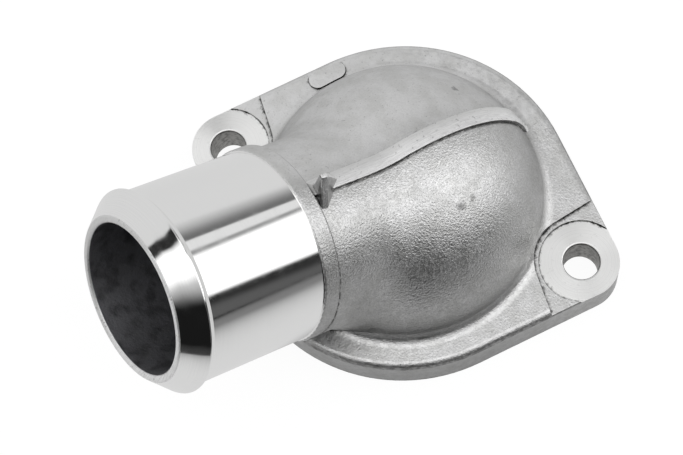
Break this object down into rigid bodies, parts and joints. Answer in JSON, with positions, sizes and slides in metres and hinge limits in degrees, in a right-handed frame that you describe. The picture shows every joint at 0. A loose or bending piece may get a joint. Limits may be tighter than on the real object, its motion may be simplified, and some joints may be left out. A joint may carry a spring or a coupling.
{
  "type": "thermostat housing",
  "caption": "Cast aluminium water outlet elbow: a domed thermostat cover on a two-eared bolt flange, with a turned and beaded hose neck rising at a slant.",
  "frame": {"origin": "centre of the thermostat seat, in the plane of the gasket face", "axes": "+Z out of the gasket face towards the dome; +X along the line of the two bolt holes, so that the hose neck leaves towards -X -Y and upwards; the part rests on its gasket face"},
  "size_m": [0.1116, 0.1079, 0.0685],
  "materials": {
    "cast_aluminium": "fine cast skin on the dome and flange, mirror-turned hose neck, milled spotfaces"
  },
  "bodies": {
    "root": {"thermostat_housing": "cast_aluminium"}
  },
  "joints": []
}
